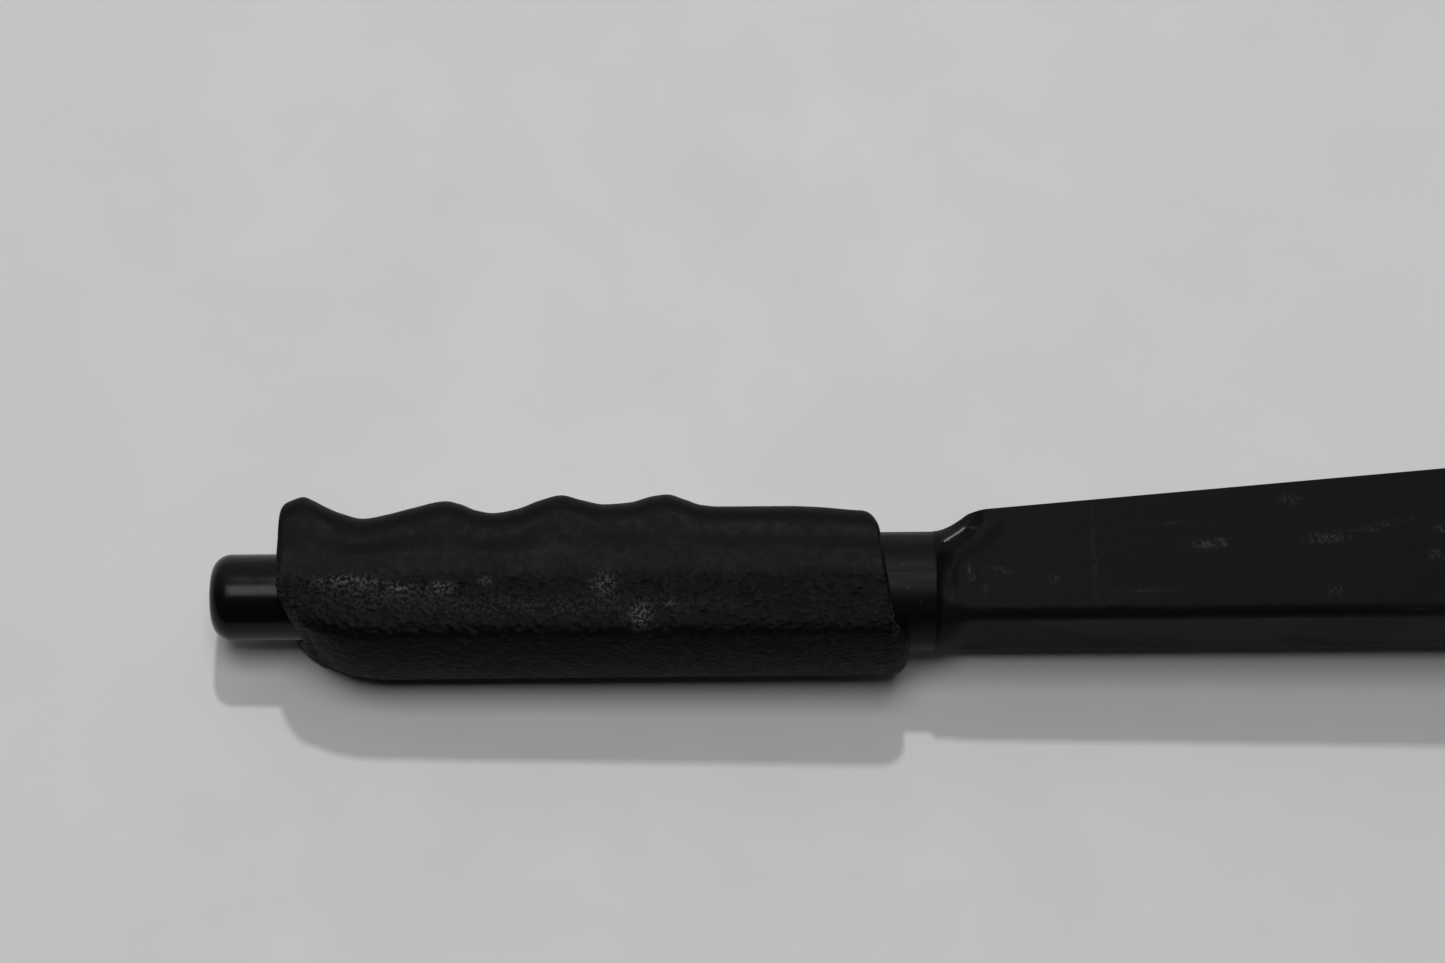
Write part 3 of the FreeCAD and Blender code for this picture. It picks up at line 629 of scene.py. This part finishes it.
def channel_point(run, t, top, inset):
    """A point of the channel's section, inset from its outer face: (height over the tube's axis, z)."""
    half = ARM_HALF - inset
    web = ARM_WEB + inset
    centre = ARM_WEB + ARM_BEND
    flat = ARM_HALF - ARM_BEND
    small = ARM_BEND - inset
    if run == "side":
        return top + (centre - top) * t, half
    if run == "bend":
        turn = math.pi / 2 * t
        return centre - small * math.sin(turn), flat + small * math.cos(turn)
    if run == "web":
        return web, flat * (1 - 2 * t)
    height, z = channel_point({"bend_far": "bend", "side_far": "side"}[run], 1 - t, top, inset)
    return height, -z


def ring_point(run, t, radius):
    """The same point on the rolled neck: (height over the tube's axis, z)."""
    low, high = RING_ANGLES[run]
    angle = math.radians(low + (high - low) * t)
    return radius * math.cos(angle), radius * math.sin(angle)


def arm_steps():
    """(run, share, inset, drop) round the sheet's section: outside, one edge, inside, the other edge."""
    outside = [(run, i / count, 0.0) for run, count in OUTER_RUNS for i in range(count)]
    inside = [(run, 1 - i / count, SHEET) for run, count in reversed(INNER_RUNS) for i in range(count)]
    turns = (0.0, 0.4, 0.8, 1.2, math.pi / 2)
    edge = [(SHEET_RIM * (1 - math.cos(a)), SHEET_RIM * (1 - math.sin(a))) for a in turns]
    near = edge + [(SHEET - inset, drop) for inset, drop in reversed(edge)]
    far_lip = [("side_far", 1.0, inset, drop) for inset, drop in near]
    near_lip = [("side", 0.0, SHEET - inset, drop) for inset, drop in near]
    return ([(run, t, inset, 0.0) for run, t, inset in outside[1:]] + far_lip
            + [(run, t, inset, 0.0) for run, t, inset in inside[1:]] + near_lip)


def forming_line(d, height):
    """Distance from the faint raised line where the press tool's flat ended."""
    bend = max(0.0, -1.0 - height)
    return (d - (162.5 + 0.055 * bend ** 2)) / 0.45


def lip_roll(d, height):
    """The flare's rolled lip, which runs up and back from the tube's end, and the valley under it."""
    above = (height - 6.2 - 0.65 * (d - 135.2)) * 0.84
    crest = smooth(d, 134.0, 135.4) * smooth(d, 142.4, 139.8) * math.exp(-(above / 0.75) ** 2)
    valley = smooth(d, 133.8, 135.0) * smooth(d, 147.5, 141.5) * math.exp(-((above + 3.2) / 1.9) ** 2)
    return 0.42 * crest - 0.4 * valley


def painted_lip_glint(d, height):
    """Painted highlight: a bright line along the crest of the rolled lip, where the light glints on it."""
    above = (height - 6.3 - 0.65 * (d - 135.2)) * 0.84
    return 2.5 * smooth(d, 134.6, 135.4) * smooth(d, 139.8, 138.8) * math.exp(-(above / 0.32) ** 2)


def arm_relief(d, height):
    """Outward displacement of a cheek, in millimetres."""
    relief = lip_roll(d, height)
    for along, up, wide, tall, depth in ARM_DENTS:
        away = ((d - along) / wide) ** 2 + ((height - up) / tall) ** 2
        if away < 8:
            relief += depth * math.exp(-away)
    relief += 0.07 * math.exp(-forming_line(d, height) ** 2)
    swell = noise.noise(Vector((d * 0.09, height * 0.14, 3.0)))
    lumps = smooth(height, ARM_WEB + 4.5, ARM_WEB + 1.5) * noise.noise(Vector((d * 0.7, height * 0.6, 8.0)))
    return relief + 0.06 * swell + 0.10 * lumps


def flare_rise(share):
    """How far the section has opened: a slow start, then a rounded corner at the flare's end."""
    opened = max(share, 0.0) ** 1.4
    if opened < 1 - FLARE_CORNER:
        return opened
    return 1 - max(1 + FLARE_CORNER - opened, 0.0) ** 2 / (4 * FLARE_CORNER)


ARM_STEPS = arm_steps()


def arm_ring(d):
    """The sheet's section at a distance from the tip, and each point's mark: scuffs, plus the painted lip
    highlight on the near cheek.
    """
    start = TUBE_END
    top = ARM_EDGE + ARM_SLOPE * (d - start - ARM_EDGE_FROM)
    ring = []
    marks = []
    for run, t, inset, drop in ARM_STEPS:
        low, high = RING_ANGLES[run]
        angle = low + (high - low) * t
        from_top = min(angle, 360 - angle)
        open_top = 1 - smooth(from_top, 64.0, 78.0)
        below = 1.25 * smooth(from_top, 94.0, 108.0) + 0.27 * smooth(from_top, 112.0, 126.0)
        proud = smooth(d, start - 0.6, start - 0.5) * max(1.58 * open_top, below)
        proud = max(proud, 0.15 * smooth(d, start - 0.1, start))
        radius = TUBE_BORE - NECK_GAP + proud - inset
        h0, z0 = ring_point(run, t, radius)
        h1, z1 = channel_point(run, t, top - drop, inset)
        rise = flare_rise((d - start) / FLARE_LENGTH)
        spread_end = start + 0.5 + 2.7 * smooth(h1, -3.0, 0.5) + 6.0 * smooth(h1, 1.0, 12.0)
        spread = smooth(d, start - 0.6, spread_end)
        height = h0 + (h1 - h0) * rise
        z = z0 + (z1 - z0) * spread
        cheek = smooth(h1, ARM_WEB + 0.4, ARM_WEB + 2.2)
        relief = arm_relief(d, height if z > 0 else height + HIDDEN_RELIEF)
        push = relief * cheek * smooth(d, start, start + 1.0)
        rim_free = smooth(top - h1, 0.2, 1.5)
        z += math.copysign(min(push, 0.0) + max(push, 0.0) * 0.9, z) * (0.3 + 0.7 * rim_free)
        ring.append((d, height, z))
        if z > 0:
            # The near cheek's mark is its scuffs plus the painted highlight along the lip.
            marks.append(patches(ARM_SCUFFS, d, height) + painted_lip_glint(d, height))
        else:
            marks.append(patches(ARM_SCUFFS, ARM_SCUFF_MIRROR - d, height))
    return ring, marks


def arm_distances():
    """Distances from the tip of the arm's rings: neck, flare, then evenly to the cut."""
    neck = (ARM_LOW[0] - TIP_X) / MM
    end = ARM_CUT - TIP_X / MM
    distances = [neck + (TUBE_END - 0.9 - neck) * i / NECK_RINGS for i in range(NECK_RINGS + 1)]
    distances += [TUBE_END - 0.6, TUBE_END - 0.5, TUBE_END - 0.25]
    distances += [TUBE_END + FLARE_STEP * i for i in range(FLARE_RINGS)]
    first = distances[-1]
    count = round((end - first) / ARM_STEP)
    return distances + [first + (end - first) * i / count for i in range(1, count + 1)]


def pivot_end():
    """The arm behind the cut: the CAD's solids welded into one mesh, with soft corners."""
    shape = bmesh.new()
    for node in ARM_NODES:
        shape.from_mesh(frame["nodes"][node].data)
    joints = sorted({round(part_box(node)[0][0], 6) for node in ARM_NODES})[1:]
    hidden = [face for face in shape.faces
              if any(all(abs(corner.co.x - x) < 1e-6 for corner in face.verts) for x in joints)]
    bmesh.ops.delete(shape, geom=hidden, context="FACES")
    bmesh.ops.remove_doubles(shape, verts=shape.verts, dist=WELD)
    bmesh.ops.bisect_plane(shape, geom=shape.verts[:] + shape.edges[:] + shape.faces[:], dist=1e-7,
                           plane_co=(ARM_CUT * MM, 0, 0), plane_no=(1, 0, 0), clear_inner=True)
    bmesh.ops.dissolve_limit(shape, angle_limit=math.radians(1.0), verts=shape.verts, edges=shape.edges)
    inner_edges = [edge for edge in shape.edges if len(edge.link_faces) == 2]
    corners = [edge for edge in inner_edges if edge.calc_face_angle() > BEVEL_ANGLE]
    bmesh.ops.bevel(shape, geom=corners, offset=ARM_BEVEL, segments=2, profile=0.6, affect="EDGES",
                    clamp_overlap=True)
    mesh = bpy.data.meshes.new("pivot_end")
    shape.to_mesh(mesh)
    shape.free()
    return mesh


def make_arm(finish):
    """The arm's rolled neck, flare and first part as one grid, joined to the pivot end's mesh."""
    distances = arm_distances()
    around = len(ARM_STEPS)
    points = []
    marks = []
    for d in distances:
        ring, scuffs = arm_ring(d)
        points += placed(ring)
        marks += scuffs
    faces = grid_faces(len(distances), around)[:-around]
    faces.append(tuple(range(around)))
    front = mesh_from("arm_body", points, faces)
    # The mark holds the scuffs and the painted lip highlight.
    set_attribute(front, "scuff_and_highlight", marks)
    piece = add_piece("arm_body", front, finish, "lever", ARM_NODES)
    rear = pivot_end()
    whole = bmesh.new()
    whole.from_mesh(front)
    whole.from_mesh(rear)
    for face in whole.faces:
        face.smooth = True
    whole.to_mesh(front)
    whole.free()
    piece.data.set_sharp_from_angle(angle=ARM_CREASE)
    bpy.data.meshes.remove(rear)


# Finishes -----------------------------------------------------------------------------------------

METAL_GRAIN = 300.0
GRIME = (0.10, 0.08, 0.06)


def grip_finish():
    """Moulded black plastic: coarse leather grain, polished and scuffed where the palm rubs; with painted
    shade in the grain's pits and painted highlights on its crests and along the front rim.
    """
    f = Finish("grip_plastic", (0.004, 0.004, 0.0044), 0.55, specular=0.075)
    grain = f.cells(900.0)
    wrinkle = f.noise(420.0, 5.0, 0.62, 0.6)
    worn = f.attribute("worn")
    depth = f.attribute("depth")
    coarse = f.math("SUBTRACT", 1.0, f.math("MULTIPLY", worn, 0.8))
    height = f.math("MULTIPLY", f.math("ADD", f.math("MULTIPLY", grain, 0.45), wrinkle), coarse)
    rub = f.noise(90.0, 3.0, 0.6)
    polish = f.math("MULTIPLY", worn, f.ramp(rub, 0.3, 0.7, 0.02, 0.08))
    f.roughness(f.math("SUBTRACT", f.ramp(wrinkle, 0.3, 0.7, 0.62, 0.5), polish))
    # Scuffs and the painted front-rim highlight share this mask, and both are mixed towards light grey.
    scuff_and_highlight = f.math("MULTIPLY", f.attribute("scuff_and_highlight"), f.ramp(f.noise(1500.0, 3.0, 0.7), 0.47, 0.57))
    tint = f.mix(f.ramp(f.noise(30.0, 3.0), 0.35, 0.65), (0.0031, 0.0031, 0.0035), (0.0036, 0.0036, 0.0039))
    # Painted shade: the deep pits of the grain are made darker.
    tint = f.mix(f.ramp(depth, 0.25, 0.75), tint, (0.0006, 0.0006, 0.0008))
    # Painted highlight: the crests of the coarse grain are made lighter, as if catching the light.
    crest_highlight = f.math("MULTIPLY", f.ramp(depth, 0.22, 0.08), coarse)
    tint = f.mix(f.math("MULTIPLY", crest_highlight, 0.5), tint, (0.011, 0.011, 0.0115))
    f.color(f.mix(scuff_and_highlight, tint, (0.080, 0.080, 0.078)))
    f.bump(height, 0.8, 0.0004)
    return f.material


def button_finish():
    """Smooth glossy black plastic with faint handling marks."""
    f = Finish("button_plastic", (0.0034, 0.0034, 0.0037), 0.20, specular=0.17)
    haze = f.noise(160.0, 4.0, 0.6)
    f.roughness(f.ramp(haze, 0.35, 0.7, 0.18, 0.26))
    f.bump(f.noise(900.0, 3.0), 0.08, 0.0001)
    return f.material


def tube_finish():
    """Satin black paint on drawn steel tube, with fine scratches along it."""
    f = Finish("tube_paint", (0.003, 0.003, 0.0035), 0.4, specular=0.11)
    scratch = f.noise(500.0, 4.0, 0.6, 0.0, (0.15, 1.0, 1.0))
    f.roughness(f.ramp(scratch, 0.35, 0.7, 0.42, 0.56))
    f.color(f.mix(f.ramp(f.noise(700.0, 3.0), 0.68, 0.72), (0.003, 0.003, 0.0036), (0.03, 0.027, 0.024)))
    f.bump(f.noise(260.0, 4.0), 0.15, 0.0002)
    return f.material


def arm_finish(name):
    """Black dip paint over a pressing: orange peel, scuffs along the sides, a few rust specks, and a
    painted highlight along the flare's lip.
    """
    f = Finish(name, (0.004, 0.004, 0.006), 0.48, specular=0.035)
    peel = f.noise(240.0, 3.0, 0.5)
    smear = f.noise(35.0, 5.0, 0.65, 0.8, (0.5, 1.6, 1.0))
    scratch = f.noise(300.0, 4.0, 0.65, 0.0, (0.12, 1.2, 1.0))
    speck = f.ramp(f.cells(140.0), 0.10, 0.03)
    rust = f.math("MULTIPLY", speck, f.ramp(f.noise(60.0, 2.0), 0.60, 0.66))
    # Scuffs and the painted lip highlight, read from the mesh.
    scuffs_and_glint = f.attribute("scuff_and_highlight")
    mark = f.math("MULTIPLY", f.ramp(scratch, 0.62, 0.72), f.ramp(smear, 0.5, 0.7))
    base = f.mix(f.ramp(smear, 0.3, 0.75), (0.0043, 0.0043, 0.0060), (0.0080, 0.0080, 0.0102))
    base = f.mix(mark, base, (0.024, 0.023, 0.022))
    scuff_and_highlight = f.math("MULTIPLY", scuffs_and_glint, f.ramp(f.noise(1100.0, 4.0, 0.7), 0.42, 0.62))
    base = f.mix(scuff_and_highlight, base, (0.060, 0.054, 0.048))
    # Painted highlight: where the mark passes 1, on the lip's crest line, the paint turns light grey.
    base = f.mix(f.ramp(scuffs_and_glint, 1.2, 2.2), base, (0.30, 0.30, 0.30))
    f.color(f.mix(rust, base, (0.050, 0.032, 0.020)))
    f.roughness(f.math("ADD", f.ramp(smear, 0.3, 0.75, 0.40, 0.56), f.math("MULTIPLY", rust, 0.3)))
    height = f.math("ADD", f.math("MULTIPLY", peel, 0.5), f.math("MULTIPLY", mark, -0.4))
    f.bump(height, 0.25, 0.0002)
    return f.material


def metal_finish(name, color, roughness, stained=0.35):
    """Bare or plated metal: fine brushed grain, mottled dullness and a little grime."""
    f = Finish(name, color, roughness, metallic=1.0)
    fine = f.noise(METAL_GRAIN, 5.0, 0.6, 0.2)
    cloud = f.noise(METAL_GRAIN * 0.2, 4.0, 0.6)
    darker = tuple(0.6 * c for c in color)
    base = f.mix(f.ramp(cloud, 0.35, 0.7), darker, color)
    dirty = f.ramp(f.noise(METAL_GRAIN * 0.5, 5.0, 0.7), 0.55, 0.75)
    f.color(f.mix(f.math("MULTIPLY", dirty, stained), base, GRIME))
    f.roughness(f.ramp(fine, 0.3, 0.7, roughness - 0.08, roughness + 0.14))
    f.bump(fine, 0.12, 0.0001)
    return f.material


def nylon_finish():
    """Natural nylon, a little yellowed and uneven."""
    f = Finish("guide_plastic", (0.60, 0.57, 0.50), 0.45)
    f.color(f.mix(f.ramp(f.noise(120.0, 4.0), 0.3, 0.75), (0.62, 0.59, 0.52), (0.42, 0.38, 0.31)))
    f.roughness(f.ramp(f.noise(300.0), 0.3, 0.7, 0.38, 0.55))
    f.bump(f.noise(500.0), 0.1, 0.0001)
    f.set(Subsurface_Weight=0.1)
    return f.material


def make_finishes():
    return {
        "grip_plastic": grip_finish(),
        "button_plastic": button_finish(),
        "tube_paint": tube_finish(),
        "arm_paint": arm_finish("arm_paint"),
        "rivet_steel": arm_finish("rivet_steel"),
        "guide_plastic": nylon_finish(),
        "zinc_plate": metal_finish("zinc_plate", (0.56, 0.54, 0.47), 0.38),
        "spring_steel": metal_finish("spring_steel", (0.28, 0.28, 0.30), 0.32),
        "hardened_steel": metal_finish("hardened_steel", (0.34, 0.33, 0.32), 0.36, stained=0.6),
        "bush_bronze": metal_finish("bush_bronze", (0.45, 0.31, 0.15), 0.42, stained=0.5),
    }


def finish_cad_nodes(finishes):
    """Every CAD node that stays gets its slot's finish, and soft edges."""
    slots = {row["node"]: row["material_slot"] for row in frame["record"]["subparts"]}
    for node, obj in frame["nodes"].items():
        obj.data.materials.clear()
        obj.data.materials.append(finishes[slots[node]])
        weld = obj.modifiers.new("weld", "WELD")
        weld.merge_threshold = WELD
        bevel = obj.modifiers.new("bevel", "BEVEL")
        bevel.width = CAD_BEVEL
        bevel.segments = 2
        bevel.limit_method = "ANGLE"
        bevel.angle_limit = BEVEL_ANGLE
        bevel.harden_normals = True


# Stage --------------------------------------------------------------------------------------------

def table_finish():
    """Pale laminate, slightly uneven in tone."""
    f = Finish("table_top", (0.70, 0.70, 0.69), 0.5, specular=0.3)
    f.color(f.mix(f.ramp(f.noise(9.0, 4.0), 0.35, 0.7), (0.712, 0.712, 0.708), (0.724, 0.724, 0.72)))
    f.roughness(f.ramp(f.noise(40.0), 0.3, 0.7, 0.45, 0.6))
    return f.material


def floor_height(x):
    """The lever rests on the grip's front and the pivot sleeve's end, so the floor leans a little."""
    lean = (SLEEVE_LOW[2] - GRIP_LOW[2]) / (SLEEVE_LOW[0] - GRIP_LOW[0])
    return GRIP_LOW[2] + lean * (x - GRIP_LOW[0])


def make_stage():
    h = TABLE_HALF
    corners = [(x, y, floor_height(x)) for x, y in ((-h, -h), (h, -h), (h, h), (-h, h))]
    table = new_object("table_top", mesh_from("table_top", corners, [(0, 1, 2, 3)], rounded=False))
    table.data.materials.append(table_finish())


def add_light(name, place, size, power, color=(1, 1, 1)):
    """A square light at a place counted from LIGHT_AIM, which it faces."""
    data = bpy.data.lights.new(name, "AREA")
    data.shape = "SQUARE"
    data.size = size
    data.energy = power
    data.color = color
    light = new_object(name, data)
    light.location = LIGHT_AIM + place
    light.rotation_euler = (LIGHT_AIM - light.location).to_track_quat("-Z", "Y").to_euler()


def light_stage():
    world = bpy.data.worlds.new("studio")
    world.use_nodes = True
    nodes, links = world.node_tree.nodes, world.node_tree.links
    sky = nodes["Background"]
    slope = nodes.new("ShaderNodeVectorMath")
    slope.operation = "DOT_PRODUCT"
    slope.inputs[1].default_value = SKY_SLOPE
    links.new(nodes.new("ShaderNodeTexCoord").outputs["Generated"], slope.inputs[0])
    upward = nodes.new("ShaderNodeMapRange")
    spans = {"From Min": SKY_FROM, "From Max": 1.0, "To Min": SKY_LOW, "To Max": SKY_HIGH}
    for name, value in spans.items():
        upward.inputs[name].default_value = value
    links.new(slope.outputs["Value"], upward.inputs["Value"])
    links.new(upward.outputs["Result"], sky.inputs["Strength"])
    sky.inputs["Color"].default_value = SKY_COLOR
    bpy.context.scene.world = world
    add_light("key", KEY_PLACE, KEY_SIZE, KEY_POWER, KEY_COLOR)
    add_light("overhead", OVERHEAD_PLACE, OVERHEAD_SIZE, OVERHEAD_POWER)


def make_camera():
    data = bpy.data.cameras.new("camera")
    data.sensor_width = SENSOR
    data.lens = SENSOR * CAMERA_DISTANCE / VIEW_WIDTH
    data.clip_start = CLIP_START
    camera = new_object("camera", data)
    back = Vector((0, -math.cos(CAMERA_ELEVATION), math.sin(CAMERA_ELEVATION)))
    camera.location = CAMERA_AIM + back * CAMERA_DISTANCE
    turn = (-back).to_track_quat("-Z", "Y").to_matrix().to_4x4()
    camera.matrix_world = Matrix.Translation(camera.location) @ turn @ Matrix.Rotation(-CAMERA_ROLL, 4, "Z")
    bpy.context.scene.camera = camera
    bpy.context.scene.view_settings.view_transform = "Standard"


make_camera()
make_stage()
light_stage()
FINISHES = make_finishes()
finish_cad_nodes(FINISHES)
make_grip(FINISHES["grip_plastic"])
make_button(FINISHES["button_plastic"])
make_tube(FINISHES["tube_paint"])
make_spring(FINISHES["spring_steel"])
make_arm(FINISHES["arm_paint"])
